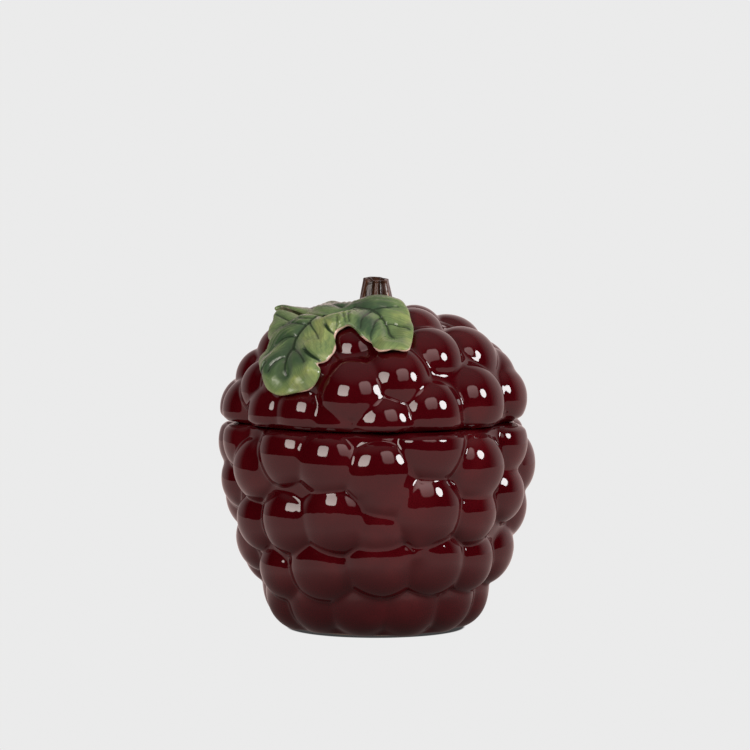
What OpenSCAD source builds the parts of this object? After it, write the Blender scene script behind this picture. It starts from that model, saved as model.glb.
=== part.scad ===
// Lidded jam pot shaped as a bunch of grapes, with a vine leaf and a stem as its knob.
// Lengths are millimetres. The front faces -Y, and bearings turn from the front towards +X.

/* [Pot] */
// Height of the flat rim that carries the lid
seat_h = 77.6; // [74:0.1:82]
// Radius of the widest ring of grape centres
belly_r = 46.5; // [45:0.5:48]
// Height of the widest ring of grape centres
belly_h = 68; // [65:0.5:72]
// Radius of the lowest ring of grape centres
base_ring_r = 29.5; // [28:0.1:31]
// Height of the lowest ring of grape centres
base_ring_h = 13; // [12:0.5:14]
// Radius of a middling grape on the pot
pot_grape_r = 12.5; // [12:0.1:13]
// How far the body between the grapes stands out from their centres
crease_rise = 3.5; // [3:0.1:4.5]
// Thickness of the pot's wall, measured at the creases
wall_t = 5; // [4:0.1:6]
// Thickness of the pot's floor
floor_t = 6; // [4:0.5:8]

/* [Rim] */
// Radius of the mouth
mouth_r = 42.2; // [40:0.1:43]
// Height of the straight neck inside the mouth
neck_h = 8; // [7.5:0.1:12]
// Height of the shoulder that widens from the neck to the wall
shoulder_h = 8; // [5:0.5:12]
// Width of the flat land on the rim
land_w = 4.3; // [3:0.1:5]
// Fall of the rim, and rise of the lid's edge, from the land to the outside
seam_fall = 0.8; // [0.3:0.1:1.5]

/* [Foot ring] */
// Outer radius of the unglazed foot ring
foot_r = 27.5; // [24:0.5:30]
// Width of the foot ring
foot_w = 4.5; // [3:0.5:6]
// Height of the foot ring
foot_h = 0.8; // [0.5:0.1:2]
// Margin of the pot's flat underside round the foot ring
foot_margin = 4.5; // [1:0.1:5]

/* [Lid] */
// Radius of the widest ring of grape centres on the lid
dome_r = 45; // [44:0.5:46]
// Height of that ring above the rim
dome_lift = 6.4; // [5:0.1:8]
// Rise of the dome of grape centres above that ring
dome_rise = 28; // [26:0.5:30]
// Radius of a middling grape on the lid
lid_grape_r = 11; // [10.5:0.1:11.5]
// Thickness of the lid's shell, measured at the creases
shell_t = 4.5; // [3.5:0.1:5.5]
// Thickness of the ledge that rests on the rim
ledge_t = 4.5; // [3:0.5:6]

/* [Locating ring] */
// Gap between the locating ring and the mouth
ring_gap = 1.2; // [0.5:0.1:2]
// Thickness of the locating ring
ring_t = 4; // [3:0.5:5]
// Depth of the locating ring below the rim
ring_drop = 6.5; // [5:0.5:7]
// Chamfer on the lower corners of the locating ring
ring_chamfer = 0.8; // [0.3:0.1:1.2]

/* [Stem] */
// Height of the stem's seat above the rim
stem_seat = 40.4; // [39:0.1:42]
// Height of the stem from its seat to the lip
stem_h = 12.8; // [10:0.1:18]
// Radius of the stem's foot
stem_foot_r = 7; // [6:0.1:7.5]
// Radius of the stem's top
stem_top_r = 4.3; // [4:0.1:5]
// Depth of the flutes
flute_depth = 0.5; // [0.2:0.1:0.8]
// Number of flutes
flutes = 8; // [6:1:12]
// How far the lip slopes down from the back to the front
lip_slope = 0.8; // [0:0.1:1.5]
// Depth of the dished top
dish_depth = 1; // [0.5:0.1:2]
// Margin of the flat seat round the stem's foot
seat_clear = 0.5; // [0.3:0.1:1]

/* [Leaf] */
// Length of the leaf from its base to the tip of the middle lobe
leaf_len = 58; // [50:0.5:60]
// Distance of the leaf's base from the stem's axis, measured over the dome
leaf_base = 12; // [11.5:0.5:14]
// Bearing of the leaf's base
leaf_base_bearing = -30; // [-40:1:-20]
// Thickness of the leaf
leaf_t = 2.2; // [1.5:0.1:3]
// Thickness of the leaf's edge
leaf_edge_t = 1.4; // [1:0.1:2]
// Gap between the leaf and the grapes that it lies on
leaf_gap = 0.5; // [0.4:0.1:0.8]
// How far the leaf sags between the crowns of the grapes
leaf_sag = 2.4; // [2:0.1:3]

/* [Hidden] */
$fn = 72;
overrun = 4;
profile_step = 6.5;
pole_spin = 40;
burgundy = [0.36, 0.06, 0.1];
bare_clay = [0.85, 0.8, 0.72];
leaf_green = [0.38, 0.52, 0.3];
stem_brown = [0.3, 0.18, 0.09];

// Grapes on the pot, ring by ring from the rim to the foot.
// Each row is a bearing in degrees, then the height, ring radius and size as shares.
pot_shares = [
    [-92, 0.9, 1, 0.95], [-76, 0.915, 0.99, 0.92], [-59, 0.8, 1, 0.96], [-40, 0.885, 1, 0.98],
    [-20, 0.853, 1, 0.94], [1, 0.805, 1, 1], [4, 0.74, 1, 0.92], [23, 0.925, 1, 1.02],
    [46, 0.812, 1, 1.04], [72, 0.91, 0.99, 0.95], [93, 0.79, 1.01, 1.02], [112, 0.89, 1, 0.98],
    [132, 0.83, 1, 1], [152, 0.9, 1, 0.97], [172, 0.85, 1, 1.03], [-168, 0.88, 1, 0.97],
    [-149, 0.84, 1, 1.02], [-130, 0.9, 1, 0.98], [-111, 0.83, 1, 1],
    [-88, 0.72, 1.01, 0.86], [-101, 0.62, 1, 0.95], [-65, 0.55, 1, 0.88], [-41, 0.573, 1, 0.96],
    [-17.5, 0.597, 1, 1.02], [1, 0.553, 1, 0.8], [21.5, 0.64, 1, 1.07], [46, 0.605, 1, 0.93],
    [71, 0.675, 0.99, 0.92], [92, 0.58, 1, 0.95], [114, 0.65, 1, 1], [137, 0.6, 1, 1.02],
    [160, 0.64, 1, 0.98], [-178, 0.59, 1, 1.03], [-155, 0.63, 1, 1], [-131, 0.6, 1, 1.02],
    [-86, 0.435, 0.98, 0.9], [-104, 0.36, 0.99, 0.93], [-56, 0.315, 1, 0.9], [-27, 0.35, 1, 0.99],
    [2, 0.383, 1, 1], [28, 0.382, 1, 0.98], [52, 0.372, 1, 0.95], [80, 0.39, 0.98, 1],
    [107, 0.4, 1, 0.98], [134, 0.375, 1, 1], [161, 0.39, 1, 1], [-171, 0.37, 1, 1],
    [-146, 0.39, 1, 1], [-124, 0.4, 1, 0.96],
    [-70, 0.172, 0.97, 1.03], [-40, 0.17, 0.97, 1.03], [-10, 0.172, 0.97, 1.03], [20, 0.17, 0.97, 1.03],
    [50.5, 0.172, 0.97, 1.03], [81, 0.17, 0.97, 1.03], [111, 0.172, 0.97, 1.03], [141, 0.17, 0.97, 1.03],
    [171, 0.172, 0.97, 1.03], [-159, 0.17, 0.97, 1.03], [-129, 0.172, 0.97, 1.03], [-99.5, 0.17, 0.97, 1.03],
];

// Grapes on the lid, ring by ring from the rim to the stem.
// Each row is a bearing and a climb up the dome in degrees, then the ring radius and size as shares.
lid_shares = [
    [-98, -6, 1.07, 1.05], [-80, -4, 1.04, 1], [-52, -4, 1.01, 1], [-34, -3, 1, 0.95],
    [-17, -8, 1, 0.88], [3, -12, 1.02, 1.12], [25, -1.5, 1, 1.04], [50.5, 6, 1, 1.12],
    [81, 6, 1.01, 1.02], [105, 1, 1.01, 0.98], [128, 5, 1, 1], [151, 0, 1.01, 0.99],
    [174, 4, 1, 1.01], [-164, -1, 1.01, 0.99], [-142, 4, 1, 1], [-120, 0, 1.02, 1],
    [-90, 20.5, 1, 0.84], [-64, 13.5, 1, 0.9], [-46, 20, 1, 0.95], [-30, 25, 1, 0.9],
    [-10.5, 13, 1, 1.1], [10.5, 24.5, 1, 1.03], [33, 39.5, 1, 1.04], [69.5, 37, 0.96, 1.07],
    [85, 22, 0.99, 0.9], [114, 22, 1, 1], [139, 26, 1, 1.02], [163, 21, 1, 1],
    [-173, 26, 1, 1], [-149, 22, 1, 1], [-124, 26, 1, 1],
    [-15, 51, 1, 0.98], [-50, 45, 1, 0.98], [-82, 44, 1, 0.98], [-108, 45, 1, 0.96],
    [42, 64, 1, 1], [112, 48, 1, 0.96], [146, 46, 1, 0.98], [177, 48, 1, 0.98],
    [-143, 46, 1, 0.98],
    [115, 70, 1, 0.85], [165, 69, 1, 0.86], [-145, 69, 1, 0.88], [-55, 67, 1, 0.82], [-100, 68, 1, 0.79],
    [4, 70, 1.04, 1.06],
];

// The leaf's outline about its base: a bearing in degrees and a share of the leaf's length.
leaf_shares = [
    [-210, 0.08], [-190, 0.09], [-180, 0.105], [-175, 0.125], [-170, 0.2], [-160, 0.32],
    [-146, 0.44], [-138, 0.6],
    [-128, 0.68], [-118, 0.7], [-109, 0.64], [-101, 0.53], [-94, 0.46], [-86, 0.49],
    [-78, 0.6], [-72, 0.7], [-66, 0.78], [-60, 0.84], [-52, 0.92], [-46, 0.99],
    [-40, 1], [-33, 0.97], [-26, 0.94], [-20, 0.86], [-17, 0.77], [-14, 0.7],
    [-12, 0.6], [-11, 0.5], [-8, 0.39], [-3, 0.42], [1, 0.47], [6, 0.54],
    [9, 0.62], [12, 0.67], [18, 0.665], [23, 0.695], [27, 0.7], [31, 0.62],
    [38, 0.53], [45, 0.45], [56, 0.35], [73, 0.27], [95, 0.22], [112, 0.13],
    [130, 0.09], [150, 0.08],
];
leaf_sides = 90;
leaf_rings = 12;
stem_sides = 48;
// Height and radius along the stem, as shares of its height and of the change in radius
stem_shares = [[0, 0], [0.15, 0.1], [0.45, 0.42], [0.75, 0.75], [0.93, 0.98], [1, 1]];

belly_drop = (belly_h - base_ring_h) / sqrt(1 - pow(base_ring_r / belly_r, 2));
floor_h = foot_h + floor_t;
land_r = mouth_r + land_w;
outer_r = belly_r + 2 * pot_grape_r;
dome_h = seat_h + dome_lift;
dome_crease_r = dome_r + crease_rise;
dome_crease_rise = dome_rise + crease_rise;
stem_seat_h = seat_h + stem_seat;
ring_outer_r = mouth_r - ring_gap;
ring_inner_r = ring_outer_r - ring_t;
leaf_bed_r = dome_r + lid_grape_r - leaf_sag;
leaf_bed_rise = dome_rise + lid_grape_r - leaf_sag;
// Length of the dome's curve from the apex to its widest ring, by a mean of the two half axes
dome_arc = (leaf_bed_r + leaf_bed_rise) / 2 * PI / 2 * 1.1;
leaf_base_at = leaf_base * facing(leaf_base_bearing);

function facing(bearing) = [sin(bearing), -cos(bearing)];
function ring_r(h) = belly_r * sqrt(1 - pow((belly_h - h) / belly_drop, 2));
function crease_r(h) = ring_r(h) + crease_rise;
function at_height(point, h) = [point.x, point.y, h];
function dome_at(r, rise, climb) = [r * cos(climb), dome_h + rise * sin(climb)];

pot_grapes = [for (g = pot_shares)
    let (h = g[1] * seat_h)
    [at_height(ring_r(h) * g[2] * facing(g[0]), h), g[3] * pot_grape_r]];
lid_grapes = [for (g = lid_shares)
    [at_height(dome_r * cos(g[1]) * g[2] * facing(g[0]), dome_h + dome_rise * sin(g[1])),
     g[3] * lid_grape_r]];

// Each sphere's poles point in and out, clear of the edges that it shares with its neighbours
module grapes(list) {
    for (g = list) translate(g[0])
        rotate([90, 0, atan2(g[0].x, -g[0].y)]) rotate(pole_spin) sphere(r = g[1]);
}

// Solid body under the grapes, down to a flat underside wider than the foot ring
module pot_body() {
    base_r = foot_r + foot_margin;
    heights = [for (h = [0 : profile_step : seat_h]) h];
    rotate_extrude()
        polygon(concat([[0, 0]], [for (h = heights) [max(base_r, crease_r(h)), h]],
                       [[crease_r(seat_h), seat_h], [0, seat_h]]));
}

module pot_cavity() {
    shoulder_top = seat_h - neck_h;
    shoulder_foot = shoulder_top - shoulder_h;
    corner_h = floor_h + wall_t;
    rotate_extrude()
        polygon(concat([[0, floor_h], [crease_r(floor_h) - 2 * wall_t, floor_h]],
                       [for (h = [corner_h : profile_step : shoulder_foot]) [crease_r(h) - wall_t, h]],
                       [[crease_r(shoulder_foot) - wall_t, shoulder_foot], [mouth_r, shoulder_top],
                        [mouth_r, seat_h + overrun], [0, seat_h + overrun]]));
}

module above_rim() {
    rotate_extrude()
        polygon([[0, seat_h], [land_r, seat_h], [outer_r, seat_h - seam_fall],
                 [outer_r, seat_h + outer_r], [0, seat_h + outer_r]]);
}

module below_lid() {
    rotate_extrude()
        polygon([[0, -overrun], [outer_r, -overrun], [outer_r, seat_h + seam_fall],
                 [land_r, seat_h], [0, seat_h]]);
}

module pot() {
    color(burgundy) difference() {
        union() {
            pot_body();
            grapes(pot_grapes);
        }
        pot_cavity();
        above_rim();
        translate([0, 0, foot_h - outer_r]) cylinder(r = outer_r, h = outer_r);
    }
}

module foot_ring() {
    color(bare_clay) difference() {
        cylinder(r = foot_r, h = foot_h);
        translate([0, 0, -overrun]) cylinder(r = foot_r - foot_w, h = foot_h + 2 * overrun);
    }
}

module dome(r, rise, low) {
    climbs = [for (climb = [low : (90 - low) / 12 : 90]) climb];
    rotate_extrude()
        polygon(concat([[0, dome_h + rise * sin(low)]], [for (climb = climbs) dome_at(r, rise, climb)]));
}

module lid() {
    color(burgundy) difference() {
        union() {
            dome(dome_crease_r, dome_crease_rise, -15);
            grapes(lid_grapes);
            translate([0, 0, dome_h + dome_rise])
                cylinder(r = stem_foot_r + seat_clear, h = stem_seat_h - dome_h - dome_rise);
        }
        lid_cavity();
        below_lid();
    }
}

// Hollow of the lid, with a ledge left over the rim and the locating ring
module lid_cavity() {
    hollow_r = dome_crease_r - shell_t;
    hollow_rise = dome_crease_rise - shell_t;
    ledge_h = seat_h + ledge_t;
    first = asin((ledge_h + ledge_t - dome_h) / hollow_rise);
    rotate_extrude()
        polygon(concat([[0, seat_h - overrun], [ring_inner_r, seat_h - overrun], [ring_inner_r, ledge_h]],
                       [for (climb = [first : (90 - first) / 10 : 90]) dome_at(hollow_r, hollow_rise, climb)]));
}

module locating_ring() {
    low = seat_h - ring_drop;
    color(burgundy) rotate_extrude()
        polygon([[ring_inner_r, seat_h], [ring_inner_r, low + ring_chamfer],
                 [ring_inner_r + ring_chamfer, low], [ring_outer_r - ring_chamfer, low],
                 [ring_outer_r, low + ring_chamfer], [ring_outer_r, seat_h]]);
}

// Point on the stem's side: a row of stem_shares and a turn in degrees
function stem_point(row, turn) =
    let (r = stem_foot_r + row[1] * (stem_top_r - stem_foot_r),
         fluted = r - flute_depth * (0.5 - 0.5 * cos(turn * flutes)),
         slope = lip_slope * row[0] * (0.5 - 0.5 * cos(turn + 180)))
    [fluted * sin(turn), -fluted * cos(turn), stem_seat_h + row[0] * stem_h - slope];

module stem() {
    turns = [for (i = [0 : stem_sides - 1]) i * 360 / stem_sides];
    rows = len(stem_shares);
    side = [for (row = stem_shares) for (turn = turns) stem_point(row, turn)];
    foot = [[0, 0, stem_seat_h]];
    dish = [[0, 0, stem_seat_h + stem_h - dish_depth - lip_slope / 2]];
    foot_at = rows * stem_sides;
    color(stem_brown) polyhedron(
        points = concat(side, foot, dish),
        faces = concat(
            [for (k = [0 : rows - 2]) for (i = [0 : stem_sides - 1]) for (half = [0, 1])
                tube_face(k * stem_sides, (k + 1) * stem_sides, i, stem_sides, half)],
            [for (i = [0 : stem_sides - 1]) [foot_at, i, (i + 1) % stem_sides]],
            [for (i = [0 : stem_sides - 1])
                [foot_at + 1, foot_at - stem_sides + (i + 1) % stem_sides, foot_at - stem_sides + i]]));
}

// One of the two triangles between side i and the next on two rings of points
function tube_face(low, high, i, sides, half) =
    let (j = (i + 1) % sides)
    half == 0 ? [low + i, high + i, high + j] : [low + i, high + j, low + j];

// Far side of a sphere along a ray from the dome's centre, or nothing where the ray misses
function ray_hit(dir, centre, r) =
    let (along = dir * centre, rest = along * along - centre * centre + r * r)
    rest < 0 || along < 0 ? 0 : along + sqrt(rest);

// Points of the leaf: a bearing about its base, a share of the way out, and the height over the bed
function leaf_point(bearing, out, lift) =
    let (reach = leaf_len * lookup(bearing, leaf_shares) * out,
         flat = leaf_base_at + reach * facing(bearing),
         climb = 90 * (1 - norm(flat) / dome_arc),
         spot = at_height(leaf_bed_r * cos(climb) * flat / norm(flat), leaf_bed_rise * sin(climb)),
         dir = spot / norm(spot),
         crown = max([for (g = lid_grapes) ray_hit(dir, g[0] - [0, 0, dome_h], g[1])]))
    [0, 0, dome_h] + dir * (max(norm(spot), crown) + leaf_gap + lift);

module leaf() {
    bearings = [for (i = [0 : leaf_sides - 1]) 150 - i * 360 / leaf_sides];
    outs = [for (k = [1 : leaf_rings]) k / leaf_rings];
    under = [for (out = outs) for (b = bearings) leaf_point(b, out, 0)];
    over = [for (out = outs) for (b = bearings)
        leaf_point(b, out, leaf_t + (leaf_edge_t - leaf_t) * pow(out, 6))];
    hub = [leaf_point(0, 0, 0), leaf_point(0, 0, leaf_t)];
    count = leaf_sides * leaf_rings;
    rim = count - leaf_sides;
    color(leaf_green) polyhedron(
        points = concat(under, over, hub),
        faces = concat(
            [for (k = [0 : leaf_rings - 2]) for (i = [0 : leaf_sides - 1]) for (half = [0, 1])
                tube_face((k + 1) * leaf_sides, k * leaf_sides, i, leaf_sides, half)],
            [for (k = [0 : leaf_rings - 2]) for (i = [0 : leaf_sides - 1]) for (half = [0, 1])
                tube_face(count + k * leaf_sides, count + (k + 1) * leaf_sides, i, leaf_sides, half)],
            [for (i = [0 : leaf_sides - 1]) for (half = [0, 1])
                tube_face(count + rim, rim, i, leaf_sides, half)],
            [for (i = [0 : leaf_sides - 1]) [2 * count, (i + 1) % leaf_sides, i]],
            [for (i = [0 : leaf_sides - 1])
                [2 * count + 1, count + i, count + (i + 1) % leaf_sides]]));
}

pot();
foot_ring();
lid();
locating_ring();
stem();
leaf();
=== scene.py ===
import math

import bpy
import numpy as np
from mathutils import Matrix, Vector
from mathutils.geometry import delaunay_2d_cdt


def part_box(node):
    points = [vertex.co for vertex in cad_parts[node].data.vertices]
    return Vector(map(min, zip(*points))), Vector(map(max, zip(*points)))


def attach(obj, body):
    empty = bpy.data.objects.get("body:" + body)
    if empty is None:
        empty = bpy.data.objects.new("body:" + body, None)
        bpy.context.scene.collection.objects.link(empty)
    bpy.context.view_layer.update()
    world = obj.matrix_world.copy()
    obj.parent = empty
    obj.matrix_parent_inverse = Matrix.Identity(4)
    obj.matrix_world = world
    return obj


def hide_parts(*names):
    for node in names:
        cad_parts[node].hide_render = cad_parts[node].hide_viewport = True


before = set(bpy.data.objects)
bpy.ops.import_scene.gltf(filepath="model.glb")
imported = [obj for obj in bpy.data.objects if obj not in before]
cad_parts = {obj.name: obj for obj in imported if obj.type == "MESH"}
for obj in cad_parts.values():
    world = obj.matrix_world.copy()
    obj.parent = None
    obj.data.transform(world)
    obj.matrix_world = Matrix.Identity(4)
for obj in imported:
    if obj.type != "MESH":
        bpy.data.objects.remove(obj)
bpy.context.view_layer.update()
mm = 0.001

# the photograph's viewpoint: a long lens, a little above the seam
cameraFacts = {"place": (-0.37 * mm, -2116 * mm, 278 * mm), "aim": (-0.37 * mm, 0, 94.3 * mm), "lens": 273.7}
camera = bpy.data.objects.new("camera", bpy.data.cameras.new("camera"))
bpy.context.scene.collection.objects.link(camera)
camera.location = cameraFacts["place"]
gaze = Vector(cameraFacts["aim"]) - camera.location
camera.rotation_euler = gaze.to_track_quat("-Z", "Y").to_euler()
camera.data.lens = cameraFacts["lens"]
camera.data.dof.use_dof = False
bpy.context.scene.camera = camera
bpy.context.scene.view_settings.view_transform = "Standard"
print("camera set")


# small helpers for node trees
def addNode(tree, kind, inputs=None, **settings):
    node = tree.nodes.new(kind)
    for name, value in settings.items():
        setattr(node, name, value)
    for name, value in (inputs or {}).items():
        if isinstance(value, bpy.types.NodeSocket):
            tree.links.new(value, node.inputs[name])
        else:
            node.inputs[name].default_value = value
    return node


def newMaterial(name):
    material = bpy.data.materials.new(name)
    material.use_nodes = True
    tree = material.node_tree
    tree.nodes.clear()
    return material, tree


def finishMaterial(tree, shader):
    addNode(tree, "ShaderNodeOutputMaterial", {"Surface": shader.outputs[0]})


def noiseOf(tree, place, scale, detail=2.0, roughness=0.5):
    return addNode(tree, "ShaderNodeTexNoise",
                   {"Vector": place, "Scale": scale, "Detail": detail, "Roughness": roughness})


def rampOf(tree, value, low, high, to=(0.0, 1.0)):
    limits = {"Value": value, "From Min": low, "From Max": high, "To Min": to[0], "To Max": to[1]}
    return addNode(tree, "ShaderNodeMapRange", limits, interpolation_type="SMOOTHSTEP").outputs["Result"]


def mathOf(tree, operation, first, second):
    return addNode(tree, "ShaderNodeMath", {0: first, 1: second}, operation=operation).outputs[0]


def vectorOf(tree, operation, first, second, result="Vector"):
    return addNode(tree, "ShaderNodeVectorMath", {0: first, 1: second}, operation=operation).outputs[result]


def lengthOf(tree, vector):
    return addNode(tree, "ShaderNodeVectorMath", {0: vector}, operation="LENGTH").outputs["Value"]


def attributeOf(tree, name):
    return addNode(tree, "ShaderNodeAttribute", attribute_name=name).outputs["Fac"]


def mixColour(tree, share, first, second):
    node = addNode(tree, "ShaderNodeMix", data_type="RGBA")
    for socket, value in ((node.inputs[0], share), (node.inputs[6], first), (node.inputs[7], second)):
        if isinstance(value, bpy.types.NodeSocket):
            tree.links.new(value, socket)
        elif isinstance(value, tuple):
            socket.default_value = (*value, 1.0)
        else:
            socket.default_value = value
    return node.outputs[2]


def objectPlace(tree, stretch=(1, 1, 1)):
    place = addNode(tree, "ShaderNodeTexCoord").outputs["Object"]
    return addNode(tree, "ShaderNodeMapping", {"Vector": place, "Scale": stretch}).outputs["Vector"]


def bumpOf(tree, height, distance, strength=1.0):
    inputs = {"Height": height, "Distance": distance, "Strength": strength}
    return addNode(tree, "ShaderNodeBump", inputs).outputs[0]


# burgundy glaze: deep and wet looking, with painted shade that makes it a little darker in the creases
glazeLook = {"body": (0.046, 0.0012, 0.003), "creaseShade": (0.026, 0.0006, 0.0015), "thin": (0.064, 0.003, 0.005),
             "roughness": 0.035, "ior": 1.5, "patch": 60, "thinTones": (0.45, 0.75), "creaseShadeTones": (0.1, 0.9),
             "peel": 210, "peelDepth": 0.12 * mm, "peelShare": 0.5}


def burgundyGlaze():
    material, tree = newMaterial("burgundyGlaze")
    place = objectPlace(tree)
    patches = noiseOf(tree, place, glazeLook["patch"], 3).outputs["Fac"]
    thinShare = rampOf(tree, patches, *glazeLook["thinTones"])
    colour = mixColour(tree, thinShare, glazeLook["body"], glazeLook["thin"])
    # painted shade: the colour darkens with the crease depth held in the hollow attribute
    creaseShadeShare = rampOf(tree, attributeOf(tree, "hollow"), *glazeLook["creaseShadeTones"])
    colour = mixColour(tree, creaseShadeShare, colour, glazeLook["creaseShade"])
    peel = noiseOf(tree, place, glazeLook["peel"], 1).outputs["Fac"]
    shader = addNode(tree, "ShaderNodeBsdfPrincipled",
                     {"Base Color": colour, "Roughness": glazeLook["roughness"], "IOR": glazeLook["ior"],
                      "Normal": bumpOf(tree, peel, glazeLook["peelDepth"], glazeLook["peelShare"])})
    finishMaterial(tree, shader)
    return material


glaze = burgundyGlaze()


# meshes of the pot and the lid: the frame's own solids, remeshed and softened as glaze softens clay
def meshArrays(mesh):
    places = np.empty(len(mesh.vertices) * 3, np.float64)
    mesh.vertices.foreach_get("co", places)
    edges = np.empty(len(mesh.edges) * 2, np.int64)
    mesh.edges.foreach_get("vertices", edges)
    return places.reshape(-1, 3), edges.reshape(-1, 2)


def neighbourMean(values, edges, valence):
    count = len(values)
    flat = values.reshape(count, -1)
    mean = np.empty_like(flat)
    for k in range(flat.shape[1]):
        mean[:, k] = (np.bincount(edges[:, 0], flat[edges[:, 1], k], count)
                      + np.bincount(edges[:, 1], flat[edges[:, 0], k], count))
    return (mean / valence[:, None]).reshape(values.shape)


def soften(places, edges, weight, rounds, share=0.6):
    valence = np.maximum(np.bincount(edges.ravel(), minlength=len(places)), 1)
    for _ in range(rounds):
        places = places + (neighbourMean(places, edges, valence) - places) * (share * weight)[:, None]
    return places


def smoothstep(values, low, high):
    t = np.clip((values - low) / (high - low), 0, 1)
    return t * t * (3 - 2 * t)


def meshNormals(mesh):
    normals = np.empty(len(mesh.vertices) * 3, np.float64)
    mesh.vertices.foreach_get("normal", normals)
    return normals.reshape(-1, 3)


def setAttribute(mesh, name, values):
    attribute = mesh.attributes.get(name) or mesh.attributes.new(name, "FLOAT", "POINT")
    attribute.data.foreach_set("value", values.astype(np.float32))


def smoothShaded(mesh):
    mesh.polygons.foreach_set("use_smooth", [True] * len(mesh.polygons))
    mesh.update()


def linkObject(name, mesh):
    piece = bpy.data.objects.new(name, mesh)
    bpy.context.scene.collection.objects.link(piece)
    return piece


def stackedQuads(rows, sides):
    return [(i * sides + k, i * sides + (k + 1) % sides, (i + 1) * sides + (k + 1) % sides, (i + 1) * sides + k)
            for i in range(rows - 1) for k in range(sides)]


def remeshed(nodeName, pieceName, voxel):
    rough = linkObject(pieceName + "Rough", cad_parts[nodeName].data.copy())
    remesh = rough.modifiers.new("remesh", "REMESH")
    remesh.mode = "VOXEL"
    remesh.voxel_size = voxel
    depsgraph = bpy.context.evaluated_depsgraph_get()
    mesh = bpy.data.meshes.new_from_object(rough.evaluated_get(depsgraph))
    bpy.data.objects.remove(rough)
    mesh.name = pieceName
    return mesh


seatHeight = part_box("locating_ring")[1].z
landRadius = 46.5 * mm  # the rim's flat land, that the lid rests on

# how the clay is softened; waves are radians per metre along x, y and z, with a phase
softClay = {"voxel": 0.5 * mm, "rounds": 26, "innerShare": 0.25, "outward": (-0.15, 0.35), "crownFrom": 4 * mm,
            "landGap": (0.3 * mm, 1.2 * mm), "landEdge": 3 * mm, "hollowDepth": 0.9 * mm,
            "swell": 0.45 * mm, "seamGuard": 2.5 * mm, "wave": 0.35 * mm,
            "waves": [((170, 40, 90), 0.5), ((-60, 190, 120), 1.9), ((110, -130, 200), 3.3)],
            "lip": 0.4 * mm, "lipGap": (0.8 * mm, 3.5 * mm), "lipEdge": (3 * mm, 7 * mm),
            "finishShare": 0.5, "finishRounds": 3}
# the curve that the grape centres lie on, and what is left of each cap's height at each height of the body;
# runs of glaze fill the creases further: bearing, height, width in degrees, tallness and share
potBody = {"across": 46.5 * mm, "up": 71.15 * mm, "centre": 68 * mm, "crest": 12.2 * mm,
           "heights": [9 * mm, 16 * mm, 27 * mm, 42 * mm], "press": [0.88, 0.62, 0.55, 0.62],
           "sidePress": 0.14, "runs": [(17.5, 34 * mm, 5, 5.5 * mm, 0.75)]}
lidBody = {"across": 45 * mm, "up": 28 * mm, "centre": 84 * mm, "crest": 11.2 * mm,
           "heights": [84 * mm], "press": [0.66], "sidePress": 0.08, "runs": []}
# where the pressing fades in or out: bearings in degrees, height over the curve, floor, crown and seam
capFade = {"side": (32, 58), "back": (100, 130), "crease": (1 * mm, 3.5 * mm), "floor": (1.5 * mm, 9 * mm),
           "crown": (14 * mm, 27 * mm), "seam": (0.9 * mm, 5 * mm)}
# outline of the pot's base, height and radius, that the lowest grapes are pressed towards
baseForm = {"heights": [0.4 * mm, 2 * mm, 3.7 * mm, 6 * mm, 9 * mm, 13 * mm],
            "radii": [33.2 * mm, 35.2 * mm, 37.2 * mm, 39.2 * mm, 41 * mm, 42.2 * mm],
            "press": 0.8, "fade": (7 * mm, 16 * mm), "inside": (24 * mm, 31 * mm)}


def pressCaps(places, body):
    radius, tall = np.hypot(places[:, 0], places[:, 1]), places[:, 2]
    rise = tall - body["centre"]
    level = np.sqrt((radius / body["across"]) ** 2 + (rise / body["up"]) ** 2)
    slope = np.stack([places[:, 0] / body["across"] ** 2, places[:, 1] / body["across"] ** 2,
                      rise / body["up"] ** 2], axis=1) / np.maximum(level, 1e-9)[:, None]
    steep = np.linalg.norm(slope, axis=1)
    height = (level - 1) / steep
    bearing = np.degrees(np.arctan2(places[:, 0], -places[:, 1]))
    aside = smoothstep(np.abs(bearing), *capFade["side"]) * (1 - smoothstep(np.abs(bearing), *capFade["back"]))
    press = np.interp(tall, body["heights"], body["press"]) + body["sidePress"] * aside
    for middle, runHeight, runWidth, runTall, share in body["runs"]:
        away = ((bearing - middle) / runWidth) ** 2 + ((tall - runHeight) / runTall) ** 2
        press = press * (1 - share * np.exp(-away))
    shift = (1 - press) * (body["crest"] - height) * smoothstep(height, *capFade["crease"])
    shift *= smoothstep(tall, *capFade["floor"])
    shift *= 1 - (1 - smoothstep(radius, *capFade["crown"])) * (tall > seatHeight)
    move = slope / steep[:, None] * shift[:, None]
    move[:, 2] *= smoothstep(np.abs(tall - seatHeight), *capFade["seam"])
    return places + move


def roundBase(places):
    radius = np.hypot(places[:, 0], places[:, 1])
    wanted = np.interp(places[:, 2], baseForm["heights"], baseForm["radii"])
    share = (1 - baseForm["press"]) * (1 - smoothstep(places[:, 2], *baseForm["fade"]))
    share *= smoothstep(radius, *baseForm["inside"])
    places[:, :2] *= (1 + share * (wanted - radius) / np.maximum(radius, mm))[:, None]
    return places


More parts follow.
